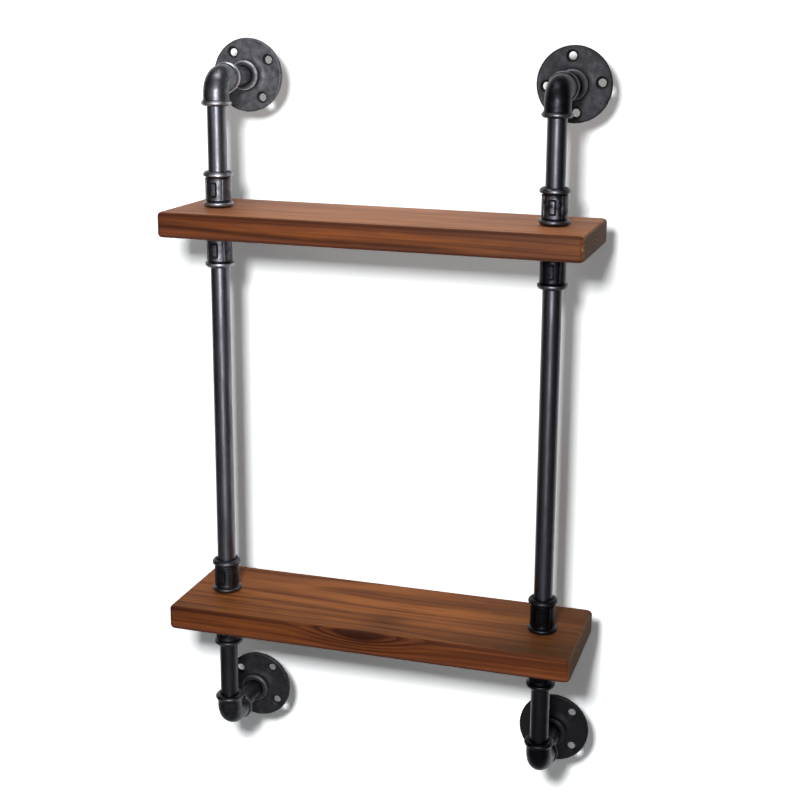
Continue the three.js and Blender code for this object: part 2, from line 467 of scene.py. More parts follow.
def eased(corners: Sequence[Corner], closed: bool = True, steps: int = 4) -> list[Pair]:
    """Round the corners of an outline.

    Args:
        corners: The corners in order.
        closed: Whether the last joins the first.
        steps: How many pieces each rounding has.

    Returns:
        (radius, along) pairs.
    """
    most_of_edge = 0.48
    spots = [Vector((corner.radius, corner.along)) for corner in corners]
    points: list[Pair] = []
    for i, (corner, here) in enumerate(zip(corners, spots)):
        if corner.fillet == 0 or (not closed and i in (0, len(corners) - 1)):
            points.append(tuple(here))
            continue
        back, ahead = spots[i - 1] - here, spots[(i + 1) % len(spots)] - here
        reach = min(corner.fillet, most_of_edge * back.length, most_of_edge * ahead.length)
        start, end = here + back.normalized() * reach, here + ahead.normalized() * reach
        for step in range(steps + 1):
            t = step / steps
            points.append(tuple(start * (1 - t) ** 2 + here * 2 * t * (1 - t) + end * t**2))
    return points


def rounded_outline(half_x: float, half_y: float, radius: float) -> list[Pair]:
    """Draw a rectangle with rounded corners, centred on the origin.

    Args:
        half_x: Half its width.
        half_y: Half its height.
        radius: The corners' radius.

    Returns:
        Its points, counter-clockwise.
    """
    steps = 6
    points: list[Pair] = []
    for quarter, (sign_x, sign_y) in enumerate(((1, 1), (-1, 1), (-1, -1), (1, -1))):
        middle_x, middle_y = sign_x * (half_x - radius), sign_y * (half_y - radius)
        for step in range(steps + 1):
            angle = (quarter + step / steps) * math.pi / 2
            points.append((middle_x + radius * math.cos(angle), middle_y + radius * math.sin(angle)))
    return points


def skinned(name: str, rings: Sequence[Sequence[Triple]], ends_meet: bool = False) -> Mesh:
    """Stretch faces over a row of rings with equal numbers of points.

    Args:
        name: The mesh's name.
        rings: The rings in order, in millimetres. A point that comes twice is one corner.
        ends_meet: Whether the last ring joins the first. If not, both are filled.

    Returns:
        A closed mesh in metres, with its faces outwards.
    """
    body = bmesh.new()
    corners: dict[Triple, bmesh.types.BMVert] = {}
    for ring in rings:
        for point in ring:
            corners[point] = corners.get(point) or body.verts.new(point)
    loops = [[corners[point] for point in ring] for ring in rings]
    for loop, following in zip(loops, loops[1:] + loops[:1] if ends_meet else loops[1:]):
        for k in range(len(loop)):
            after = (k + 1) % len(loop)
            face = list(dict.fromkeys((loop[k], loop[after], following[after], following[k])))
            if len(face) > 2:
                body.faces.new(face)
    if not ends_meet:
        body.faces.new(loops[0])
        body.faces.new(loops[-1])
    bmesh.ops.recalc_face_normals(body, faces=body.faces)
    bmesh.ops.scale(body, vec=(MM,) * 3, verts=body.verts)
    mesh = bpy.data.meshes.new(name)
    body.to_mesh(mesh)
    body.free()
    return mesh


def lathe(name: str, outline: Sequence[Pair], sides: int) -> Mesh:
    """Turn a closed outline about the z axis.

    Args:
        name: The mesh's name.
        outline: (radius, height) pairs of a closed loop. Radius 0 is on the axis.
        sides: How many facets go round.

    Returns:
        A closed mesh.
    """
    angles = [math.tau * k / sides for k in range(sides)]
    turns = [(math.cos(angle), math.sin(angle)) for angle in angles]
    return skinned(name, [[(r * c, r * s, height) for c, s in turns] for r, height in outline], True)


def carved(base: Mesh, finish: Material, *tools: Mesh) -> Mesh:
    """Take a closed tool out of a closed mesh.

    Args:
        base: What is cut.
        finish: The result's finish.
        tools: What cuts it, and then what is left standing inside the cut, if anything is.

    Returns:
        What is left.
    """
    cutters = {f"Cutter {k}": linked(f"cutter_{k}", tool) for k, tool in enumerate(tools)}
    graph = GrowthGraph("carve", finish, cutters)
    solids = [graph.entry["Geometry"]]
    for name in cutters:
        node = graph.node("GeometryNodeObjectInfo", sockets={"Object": graph.entry[name]})
        solids.append(node.outputs["Geometry"])
    while len(solids) > 1:
        taken = solids.pop()
        solids[-1] = graph.solids("DIFFERENCE", {"Mesh 1": solids[-1], "Mesh 2": taken})
    result = graph.grow(base, solids[0])
    for cutter in cutters.values():
        bpy.data.objects.remove(cutter)
    return result


# Finishes


class Row(Enum):
    """A board and the wall fixings on its side of the unit."""

    UPPER = "upper"
    LOWER = "lower"


class Side(Enum):
    """One of the two pipe runs."""

    LEFT = "left"
    RIGHT = "right"


@dataclass(frozen=True)
class PipeSteel:
    """Drawn steel pipe, blackened and oiled, with marks rubbed along it, and painted shade at the foot.
    """

    side: Side
    dark: Colour
    light: Colour
    # Painted shade: the pipe turns darker towards the foot.
    foot_shade: Coat = Coat(srgb(26, 26, 30), (-150, -300), 0.75)
    roughness: Pair = (0.34, 0.44)
    cloud: Grain = Grain((9, 9, 60), 4, 0.6, weight=0.55)
    scratch: Grain = Grain((0.9, 0.9, 26), 2, 0.6, start=(3, 1, 2), fade=(0.35, 0.75), weight=0.25)
    speck: Grain = Grain((1.6, 1.6, 1.6), 3, 0.7, fade=(0.35, 0.7), weight=0.2)
    relief: float = 0.05
    relief_weights: Pair = (0.5, 0.5)

    def material(self) -> Material:
        """Build the material.

        Returns:
            The material.
        """
        graph = ShaderGraph(f"blackened_pipe_steel_{self.side.value}")
        place = graph.local()
        grains = (self.cloud, self.scratch, self.speck)
        noises = [graph.noise(place, grain) for grain in grains]
        tone = sum(grain.tone(noise) for grain, noise in zip(grains, noises))
        low, high = self.roughness
        _, _, z = graph.axes(place)
        return graph.finish(
            {
                # The last layer is a painted shade towards the foot.
                "Base Color": graph.layered(self.dark, (self.light, tone), self.foot_shade.on(z)),
                "Metallic": 1.0,
                "Roughness": low + (1 - tone) * (high - low),
                "Normal": graph.bump(weighed(self.relief_weights, *noises[1:]), self.relief),
            }
        )


@dataclass(frozen=True)
class CastIron:
    """Cast fittings with a fine sandy skin, painted shade in the hollows, and beads worn bright.

    run is the x and y of a pipe run's axis and hub_height is how far the flanges' axes are from the
    middle of the unit. Both runs and both rows lie the same way about the middle. The coupling light
    strength is how much painted light lightens patches of the coupling over the upper board. The
    beads' brightness is wear and a painted highlight together, and the castings get painted shade
    towards the bottom. A zone's limits are distances from an axis, then places along y or heights.
    """

    side: Side
    run: Pair
    hub_height: float
    dark: Colour
    light: Colour
    # The beads' colour: bare wear and a painted highlight together.
    worn_and_lit: Colour
    coupling_light_strength: float
    # The colour of the painted shade laid in the hollows and towards the bottom.
    painted_shade: Colour = srgb(18, 18, 21)
    painted_shade_strength: float = 0.85
    # The next three numbers paint the castings darker, and their beads duller, towards the bottom:
    # painted shade.
    low_down: Pair = (150, -300)
    low_shade: float = 0.68
    low_dimming: float = 0.45
    roughness: Pair = (0.36, 0.48)
    recess_roughness: float = 0.15
    face_roughness: float = 0.12
    face_rust: float = 0.32
    cloud: Grain = Grain((7, 7, 7), 5, 0.6, weight=0.65)
    sand: Grain = Grain((0.8, 0.8, 0.8), 3, 0.7, fade=(0.4, 0.7), weight=0.35)
    pit_size: float = 2.3
    pit_edge: Pair = (0.34, 0.12)
    pit_shade: float = 0.3
    relief: float = 0.1
    relief_weights: Triple = (0.35, 0.6, -0.25)
    rub_patches: Zone = Zone(((0.35, 0.55),), 0.5)
    # Patches of painted light on the coupling over the upper board.
    coupling_light: Zone = Zone(((240, 244), (286, 282), (0.35, 0.6)))
    flange: Zone = Zone(((-22, -20),))
    # grooves, hub_foot, hub_mouth and sinks mark the hollows that get painted shade.
    grooves: Zone = Zone(((14.3, 13.3), (-50, -60)))
    hub_foot: Zone = Zone(((21, 16.5), (-10.5, -7)), 0.75)
    hub_mouth: Zone = Zone(((15, 13.6), (-15.6, -16.4), (-24, -20)), 0.8)
    sinks: Zone = Zone(((20, 22), (40.5, 39.5), (-4.7, -3.4)))
    elbow_mouth: Zone = Zone(((-67, -65.6), (-58, -59.5)))
    hub_top: Zone = Zone(((-10, -12),))
    round_beads: Zone = Zone(((15, 16.4), (18.5, 17.4)))
    upright_beads: Zone = Zone(((15.9, 16.8), (18.5, 17.4), (-22, -23.5)), 0.6)

    def _wear(self, x: Channel, y: Channel, z: Channel) -> tuple[Channel, Channel, Channel]:
        """Find the hollows and the high places of the fittings by their distance from their axes.

        Args:
            x: The place along the boards.
            y: The place out from the wall.
            z: The height.

        Returns:
            Painted shade in the hollows, wear and painted highlight on the beads, and 1 on a flange.
        """
        run_x, run_y = self.run
        across, ahead, height = abs(x) - run_x, y - run_y, abs(z) - self.hub_height
        from_run = (across * across + ahead * ahead).root()
        from_hub = (across * across + height * height).root()
        # Painted shade in the grooves, round the hub's foot, in its mouth and in the countersinks.
        painted_shade = self.grooves.of(from_run, height)
        painted_shade = painted_shade.at_least(self.hub_foot.of(from_hub, y))
        painted_shade = painted_shade.at_least(self.hub_mouth.of(from_hub, y, y))
        painted_shade = painted_shade.at_least(self.sinks.of(from_hub, from_hub, y))
        on_flange = self.flange.of(y)
        mouths = self.elbow_mouth.of(y, y) + self.hub_top.of(y) * on_flange
        # The beads, worn bright and given a painted highlight.
        beads = self.upright_beads.of(from_run, from_run, height)
        beads = beads + self.round_beads.of(from_hub, from_hub) * mouths
        return painted_shade, beads.at_most(1.0) * (1 - painted_shade), on_flange

    def material(self) -> Material:
        """Build the material.

        Returns:
            The material.
        """
        graph = ShaderGraph(f"blackened_cast_iron_{self.side.value}")
        place = graph.local()
        x, y, z = graph.axes(place)
        painted_shade, beads, on_flange = self._wear(x, y, z)
        cloud, sand = graph.noise(place, self.cloud), graph.noise(place, self.sand)
        pits = graph.cells(place, self.pit_size).rise(*self.pit_edge)
        tone = (self.cloud.tone(cloud) + self.sand.tone(sand)) * (1 - pits * self.pit_shade)
        # Painted light in patches on the coupling over the upper board.
        coupling_light = self.coupling_light.of(z, z, cloud) * self.coupling_light_strength * (1 - painted_shade)
        patches = 1 - self.rub_patches.weight + self.rub_patches.of(cloud)
        # Painted shade: darker towards the bottom.
        low_down = z.rise(*self.low_down)
        # Worn beads with a painted highlight, and the painted light on the coupling, dimmed towards the
        # bottom as painted shade.
        wear_and_highlight = (beads * patches).at_least(coupling_light) * (1 - low_down * self.low_dimming)
        # Painted shade in the hollows and towards the bottom.
        shade_share = (painted_shade * self.painted_shade_strength).at_least(low_down * self.low_shade)
        low, high = self.roughness
        rough = low + (1 - tone) * (high - low)
        return graph.finish(
            {
                "Base Color": graph.layered(
                    self.dark, (self.light, tone), (self.worn_and_lit, wear_and_highlight), (self.painted_shade, shade_share)
                ),
                "Metallic": 1 - on_flange * self.face_rust,
                "Roughness": rough + painted_shade * self.recess_roughness + on_flange * self.face_roughness,
                "Normal": graph.bump(weighed(self.relief_weights, sand, cloud, pits), self.relief),
            }
        )


@dataclass(frozen=True)
class Figure:
    """How one board was cut from its tree, and how it took the stain.

    seed moves the noises, heart is the y and z of the tree's heart from the board's middle, and tilt
    how far the rings rise along the board. knot, knot_size and knot_lift place the swelling of the
    rings over a knot, and knot_eye is the half length, depth and height of its dark middle. band
    gives the dark streak on the front as (from_x, from_z, to_x, to_z), top_light how much paler the
    top is, partly paler stain and partly painted light and sheen from above, top_calm how faint the
    grain is there, and smudge a dark patch on it. The dusks darken the top's front and the front's
    right end.
    """

    seed: float
    heart: Pair
    tilt: float
    knot: Triple
    knot_size: Triple
    knot_lift: float
    knot_eye: Triple
    knot_shade: float
    band: tuple[float, float, float, float]
    band_end: Pair
    band_shade: float
    edge_line: float
    pale: Colour
    top_light: float
    top_calm: float
    dashes: float
    bare_spot: Triple
    gloss: float
    smudge: Pair = (0, 0)
    smudge_size: Pair = (26, 16)
    smudge_shade: float = 0.0
    front_dusk: float = 0.0
    end_dusk: float = 0.0


FIGURES = {
    Row.UPPER: Figure(
        seed=3.7,
        heart=(-18, -66),
        tilt=-0.012,
        knot=(40, 30, 0),
        knot_size=(90, 30, 30),
        knot_lift=2.0,
        knot_eye=(8, 3, 3),
        knot_shade=0.0,
        band=(-238, -1, 90, -9),
        band_end=(150, 60),
        band_shade=0.8,
        edge_line=0.55,
        pale=srgb(188, 128, 88),
        top_light=0.85,
        top_calm=0.72,
        dashes=0.1,
        bare_spot=(236.6, -68.6, 0.5),
        gloss=0.1,
        end_dusk=0.4,
    ),
    Row.LOWER: Figure(
        seed=11.3,
        heart=(34, -90),
        tilt=0.004,
        knot=(-4, -71, 9),
        knot_size=(54, 15, 14),
        knot_lift=13.0,
        knot_eye=(30, 13, 8),
        knot_shade=0.95,
        band=(-238, 10, 238, 6),
        band_end=(260, 240),
        band_shade=0.15,
        edge_line=0.45,
        pale=srgb(184, 114, 62),
        top_light=0.7,
        top_calm=0.3,
        dashes=0.6,
        bare_spot=(237, -69, 13),
        gloss=0.05,
        smudge=(16, -30),
        smudge_shade=0.8,
        front_dusk=0.95,
    ),
}

FORTH: Triple = (1.0, 0.7, 1.3)
BACK: Triple = (1.3, 0.7, 1.0)
LATE: Colour = srgb(84, 42, 24)
DEEP: Colour = srgb(52, 24, 14)


@dataclass(frozen=True)
class StainedWood:
    """Softwood board in a warm brown stain under a thin satin oiling, on rings round the tree's heart.

    drift_y and drift_z are how far the heart wanders. The numbers of the edges, the arris line and
    dusk_y are distances from the board's faces, except for the first of dusk_y, which is a place.
    """

    row: Row
    centre: Triple
    half: Triple
    early: Colour = srgb(124, 69, 39)
    shaded: Colour = srgb(70, 45, 26)
    # The end grain's tone, greyed to stand in for the sheen on the end faces: partly painted sheen.
    end: Colour = srgb(112, 94, 78)
    raw: Colour = srgb(176, 146, 118)
    ring: float = 4.6
    late_wood: Zone = Zone(((0.45, 0.92), (1.0, 0.94)))
    drift_y: float = 12.0
    drift_z: float = 9.0
    bend_y: Grain = Grain((420, 900, 900), 1, start=FORTH)
    bend_z: Grain = Grain((360, 900, 900), 1, start=BACK)
    ripple: Grain = Grain((210, 16, 16), start=FORTH, weight=1.6)
    broad: Grain = Grain((5.5, 420, 1), start=FORTH)
    streak: Grain = Grain((1.5, 260, 1), 3, 0.6, start=BACK)
    fibre: Grain = Grain((90, 0.8, 0.8), 4, 0.65, start=FORTH)
    fine: Grain = Grain((26, 0.4, 0.4), 2, 0.6, start=FORTH)
    patch: Grain = Grain((150, 30, 16), swirl=0.4, start=FORTH, fade=(0.62, 0.36), weight=0.4)
    glow: Grain = Grain((70, 22, 8), swirl=0.5, start=BACK)
    dash: Grain = Grain((120, 3.4, 3.4), 3, 0.62, 0.2, BACK, (0.35, 0.6), 0.5)
    pores: Grain = Grain((1, 0.8, 0.8), 3, 0.7, fade=(0.45, 0.65), weight=0.35)
    chips: Grain = Grain((14, 3, 3), 3, 0.7, fade=(0.66, 0.76), weight=0.3)
    wander: Grain = Grain((160, 400, 400), start=FORTH, weight=5.0)
    ragged: Grain = Grain((60, 3, 1.8), 3, 0.6, start=FORTH, fade=(0.25, 0.55), weight=0.55)
    glowing: Coat = Coat(srgb(140, 78, 38), (0.41, 0.62), 0.85)
    rosy: Coat = Coat(srgb(124, 72, 54), (-6, -11), 0.6)
    clouded: Coat = Coat(LATE, (0.46, 0.74), 0.45)
    banded: Coat = Coat(LATE, (0.46, 0.68), 0.7)
    streaked: Coat = Coat(DEEP, (0.52, 0.78), 0.55)
    dashed: Coat = Coat(DEEP, (0.54, 0.68), 1.0)
    fibrous: Coat = Coat(LATE, (0.50, 0.80), 0.5)
    lined: Coat = Coat(DEEP, (0.58, 0.82), 0.2)
    ringed: Zone = Zone(((0.38, 0.62),), 0.6)
    front_edge: Pair = (4.0, 1.5)
    face_edge: Pair = (3.0, 0.6)
    pale_reach: float = 1.1
    pale_share: float = 0.6
    knot_lean: float = 1.4
    knot_reach: float = 3.2
    knot_weights: Pair = (0.5, 0.25)
    band_width: float = 3.6
    dusk_y: Pair = (10.0, 2.0)
    dusk_x: float = 70.0
    dusk_weights: Pair = (0.45, 0.6)
    end_dusk_x: float = -40.0
    most_dusk: float = 0.85
    most_dark: float = 0.92
    # Where the dark line under the top arris lies and how wide it is: partly stain, partly painted
    # shade.
    arris_line: Pair = (2.2, 1.0)
    arris_line_gaps: Pair = (0.30, 0.52)
    arris: float = 4.0
    arris_gain: float = 0.3
    arris_shade: float = 0.4
    worn_arris: Pair = (1.5, 4.0)
    end_line: float = 0.4
    end_strength: float = 0.85
    nick_size: Triple = (1.8, 1.8, 2.4)
    nick_edge: Pair = (0.3, 0.9)
    raw_strength: float = 0.75
    roughness: float = 0.50
    roughness_weights: Triple = (0.12, 0.04, 0.28)
    relief: float = 0.2
    relief_weights: tuple[float, ...] = (0.5, 0.25, -0.25, -0.3, -0.8, -0.8)

    def material(self) -> Material:
        """Build the material.

        Returns:
            The material.
        """
        figure = FIGURES[self.row]
        graph = ShaderGraph(f"stained_wood_{self.row.value}_board", figure.seed)
        place = graph.local(self.centre)
        x, y, z = graph.axes(place)
        half_x, half_y, half_z = self.half

        swell = spot((x, y, z), figure.knot, figure.knot_size)
        slanted = x - (y - figure.knot[1]) * self.knot_lean
        eye = spot((slanted, y, z), figure.knot, figure.knot_eye)
        level = self._rings(graph, place, figure) + swell * figure.knot_lift
        saw = (level / self.ring).fraction()
        line = self.late_wood.of(saw, saw)
        sheets = graph.joined(level, x)
        broad, streak = (graph.noise(sheets, grain) for grain in (self.broad, self.streak))
        fibre, fine = graph.noise(place, self.fibre), graph.noise(place, self.fine)
        patch, glow = graph.noise(place, self.patch), graph.noise(place, self.glow)
        dash, pores = graph.noise(place, self.dash), graph.noise(place, self.pores)
        chips = graph.noise(place, self.chips)

        front = y.rise(*(inset - half_y for inset in self.front_edge))
        top = z.rise(*(half_z - inset for inset in self.face_edge)) * (1 - front)
        ends = abs(x).rise(*(half_x - inset for inset in self.face_edge))
        calm = 1 - top * figure.top_calm
        # Where the top is palest, in the middle: partly stain, partly painted sheen from above.
        middle = x.hump(0.0, half_x * self.pale_reach) * self.pale_share + self.patch.tone(patch)
        by_knot = (swell * figure.knot_shade * self.knot_reach).at_most(1.0) * front
        ring_weight = self.ringed.of(broad).at_least(by_knot)
        smudge = spot((x, y), figure.smudge, figure.smudge_size) * top
        smudge = smudge * (1 - self.dash.weight + self.dash.tone(dash)) * figure.smudge_shade
        dusk_from, dusk_inset = self.dusk_y
        dusks = (y.rise(dusk_from, dusk_inset - half_y), x.rise(self.dusk_x, half_x))
        dusk = top * figure.front_dusk * weighed(self.dusk_weights, *dusks)
        dusk = dusk + front * x.rise(self.end_dusk_x, half_x) * figure.end_dusk
        # A dark line on the front just under the top arris: partly dark stain, partly painted shade.
        arris_line_inset, arris_line_width = self.arris_line
        arris_line = z.hump(half_z - arris_line_inset, arris_line_width) * front
        arris_line = arris_line * (figure.edge_line * broad.rise(*self.arris_line_gaps))
        dark = self._band(graph, place, figure) * front + eye * figure.knot_shade + arris_line
        arris = (abs(y) - (half_y - self.arris)).at_least(0.0)
        arris = arris * (abs(z) - (half_z - self.arris)).at_least(0.0)
        nick = spot((x, y, z), figure.bare_spot, self.nick_size)
        bare = nick.rise(*self.nick_edge) + arris.rise(*self.worn_arris) * self.chips.tone(chips)
        end = graph.layered(self.end, (DEEP, line * self.end_line + self.pores.tone(pores)))

        colour = graph.layered(
            self.early,
            self.glowing.on(glow),
            self.rosy.on(z, front),
            self.clouded.on(patch),
            # Painted paler top: partly stain, partly painted light and sheen from above.
            (figure.pale, top * middle * figure.top_light),
            self.banded.on(broad, calm),
            (LATE, line * ring_weight * calm),
            (DEEP, weighed(self.knot_weights, line, swell) * by_knot),
            self.streaked.on(streak, calm),
            self.dashed.on(dash, top * figure.dashes),
            (DEEP, smudge),
            self.fibrous.on(fibre, calm),
            self.lined.on(fine),
            (self.shaded, dusk.at_most(self.most_dusk)),
            (DEEP, dark.at_most(self.most_dark)),
            (DEEP, (arris * self.arris_gain).at_most(1.0) * self.arris_shade),
            (end, ends * self.end_strength),
            (self.raw, bare.at_most(1.0) * self.raw_strength),
        )
        relief = weighed(self.relief_weights, fibre, fine, line, streak, pores * ends, nick)
        return graph.finish(
            {
                "Base Color": colour,
                "Roughness": self.roughness + weighed(self.roughness_weights, fibre, line, ends),
                "Specular IOR Level": figure.gloss,
                "Normal": graph.bump(relief, self.relief),
            }
        )

    def _rings(self, graph: ShaderGraph, place: NodeSocket, figure: Figure) -> Channel:
        """Measure the distance from the tree's heart, which the year rings follow.

        Args:
            graph: The material's graph.
            place: Coordinates from the board's centre.
            figure: The board's figure.

        Returns:
            The distance in millimetres, a little uneven.
        """
        x, y, z = graph.axes(place)
        heart_y, heart_z = figure.heart
        across = y - heart_y + (graph.noise(place, self.bend_y) - 0.5) * self.drift_y
        bend_z = (graph.noise(place, self.bend_z) - 0.5) * self.drift_z
        depth = z - heart_z + bend_z - x * figure.tilt
        ripple = graph.noise(place, self.ripple) * self.ripple.weight
        return (across * across + depth * depth).root() + ripple

    def _band(self, graph: ShaderGraph, place: NodeSocket, figure: Figure) -> Channel:
        """Draw the broad dark streak that wanders along the board's front.

        Args:
            graph: The material's graph.
            place: Coordinates from the board's centre.
            figure: The board's figure.

        Returns:
            The streak's strength.
        """
        x, _, z = graph.axes(place)
        from_x, from_z, to_x, to_z = figure.band
        wander = (graph.noise(place, self.wander) - 0.5) * self.wander.weight
        level = (x - from_x) * ((to_z - from_z) / (to_x - from_x)) + from_z + wander
        ragged = 1 - self.ragged.weight + self.ragged.tone(graph.noise(place, self.ragged))
        return z.hump(level, self.band_width) * ragged * x.rise(*figure.band_end) * figure.band_shade


# Pieces


class Stock(Enum):
    """What a piece is made of: the start of its name, and the name of a material slot."""

    STEEL = ("steel", "pipe_steel")
    IRON = ("iron", "cast_iron")
    WOOD = ("wood", "stained_wood")


def node_box(node: str) -> tuple[Vector, Vector, Vector]:
    """A CAD node's lowest corner, middle and highest corner, in millimetres."""
    low, high = (Vector(corner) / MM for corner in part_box(node))
    return low, (low + high) / 2, high


def shade(mesh: Mesh) -> None:
    """Shade curved faces smoothly and keep flat faces and sharp corners crisp.

    Args:
        mesh: The mesh, in place.
    """
    square_on, crease = 0.9999, math.radians(32)
    for face in mesh.polygons:
        face.use_smooth = max(abs(part) for part in face.normal) < square_on
    mesh.set_sharp_from_angle(angle=crease)


def add_piece(node: str, stock: Stock, mesh: Mesh, place: Matrix, finish: Material) -> None:
    """Put a finished piece where its CAD node is, hang it on the root body and hide the CAD node.

    Args:
        node: The CAD node that it stands for.
        stock: What it is made of.
        mesh: Its mesh.
        place: What moves the mesh to its place.
        finish: Its finish.
    """
    mesh.transform(place)
    if place.determinant() < 0:
        mesh.flip_normals()
    shade(mesh)
    mesh.materials.clear()
    mesh.materials.append(finish)
    family, slot = stock.value
    piece = linked(f"{family}_{node}", mesh)
    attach(piece, "root")
    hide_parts(node)
    LOG.info("%s: %d faces for %s", piece.name, len(mesh.polygons), node)


@dataclass(frozen=True)
class PipeLength:
    """A straight length of pipe with its cut ends broken."""

    node: str
    radius: float = 10.65
    bore: float = 7.9
    end_chamfer: float = 0.7
    sides: int = 96

    def build(self, steel: Material) -> None:
        """Make the pipe along the longer side of its node's box.

        Args:
            steel: The pipe's finish.
        """
        low, middle, high = node_box(self.node)
        size = high - low
        foot = -max(size.y, size.z) / 2
        lower = [
            Corner(self.bore, foot),
            Corner(self.radius - self.end_chamfer, foot),
            Corner(self.radius, foot + self.end_chamfer),
        ]
        mesh = lathe(self.node, eased(doubled(lower)), self.sides)
        turn = Matrix.Rotation(math.radians(-90 if size.y > size.z else 0), 4, "X")
        add_piece(self.node, Stock.STEEL, mesh, Matrix.Translation(middle * MM) @ turn, steel)


@dataclass(frozen=True)
class Coupling:
    """A cast straight coupling: two rolled beads, grip ribs between them and a bare window in front."""

    node: str
    length: float = 40.0
    socket: float = 10.95
    mouth_chamfer: float = 0.8
    body: float = 14.3
    bead: float = 16.8
    bead_length: float = 6.4
    bead_ease: float = 2.2
    bead_slope: float = 1.2
    face_width: float = 1.0
    groove_width: float = 1.6
    groove_depth: float = 0.9
    groove_slope: float = 0.2
    lip: float = 0.35
    rib_count: int = 4
    rib_half_width: float = 1.4
    rib_rise: float = 0.9
    rib_root: float = 0.6
    rib_sides: int = 20
    window: Pair = (8.6, 17.0)
    window_corner: float = 1.9
    window_depth: float = 1.5
    window_slope: float = 0.5
    pad_inset: float = 1.9
    pad_corner: float = 0.7
    pad_height: float = 1.0
    overrun: float = 3.0
    sides: int = 112

    def _outline(self) -> list[Pair]:
        """Draw the section from the lower mouth to the upper one.

        Returns:
            (radius, height) pairs of a closed loop.
        """
        foot = -self.length / 2
        groove = foot + self.bead_length
        body_from = groove + self.groove_width
        shoulder, hollow = self.bead - self.bead_ease, self.body - self.groove_depth
        lower = [
            Corner(self.socket, foot + self.mouth_chamfer, 0.2),
            Corner(self.socket + self.mouth_chamfer, foot, 0.2),
            Corner(shoulder - self.face_width, foot, 0.3),
            Corner(shoulder, foot + self.lip, 0.8),
            Corner(self.bead, foot + self.bead_ease, 1.6),
            Corner(self.bead, groove - self.bead_slope, 1.0),
            Corner(hollow + self.groove_slope, groove, 0.4),
            Corner(hollow, groove + self.groove_width / 2, 0.5),
            Corner(self.body + self.lip, body_from, 0.4),
            Corner(self.body, body_from + self.bead_slope, 1.0),
        ]
        return eased(doubled(lower))

    def _ribbed(self, shell: Mesh, iron: Material) -> Mesh:
        """Stand the grip ribs on the shell.

        Args:
            shell: The coupling without ribs.
            iron: The casting's finish.

        Returns:
            The ribbed coupling.
        """
        rib_length = self.length - 2 * (self.bead_length + self.groove_width)
        rib_size = (self.rib_rise + self.rib_root, self.rib_half_width, rib_length)
        sizes = {
            "Count": self.rib_count,
            "First Turn": math.pi / self.rib_count,
            "Rib Size": tuple(side * MM for side in rib_size),
            "Rib Seat": (self.body - self.rib_root) * MM,
        }
        graph = GrowthGraph("coupling_ribs", iron, sizes)
        bar = {"Vertices": self.rib_sides, "Radius": 1.0, "Depth": 1.0}
        seat = graph.joined(x=graph.entry["Rib Seat"])
        rib = graph.tool("Cylinder", bar, {"Scale": graph.entry["Rib Size"], "Translation": seat})
        both = [graph.entry["Geometry"], graph.around(rib)]
        return graph.grow(shell, graph.solids("UNION", {"Mesh 2": both}))

    def _window_block(self, inset: float, corner: float, slope: float, floor: float) -> Mesh:
        """Make a rounded block on the front of the body, facing -y.

        Args:
            inset: How far its outline is inside the window's.
            corner: The radius of its corners.
            slope: How far its sides lean out to the room.
            floor: The y of its back.

        Returns:
            A closed mesh.
        """
        half_x, half_z = (side / 2 - inset for side in self.window)
        rings = []
        for lean, depth in ((0.0, floor), (slope, -(self.body + self.overrun))):
            ring = rounded_outline(half_x + lean, half_z + lean, corner)
            rings.append([(a, depth, b) for a, b in ring])
        return skinned("window_block", rings)

    def build(self, iron: Material) -> None:
        """Make the coupling where its node stands.

        Args:
            iron: The casting's finish.
        """
        _, middle, _ = node_box(self.node)
        mesh = self._ribbed(lathe(self.node, self._outline(), self.sides), iron)
        floor = self.window_depth - self.body
        window = self._window_block(0.0, self.window_corner, self.window_slope, floor)
        pad_floor = floor + self.pad_height
        pad = self._window_block(self.pad_inset, self.pad_corner, -self.window_slope, pad_floor)
        mesh = carved(mesh, iron, window, pad)
        add_piece(self.node, Stock.IRON, mesh, Matrix.Translation(middle * MM), iron)


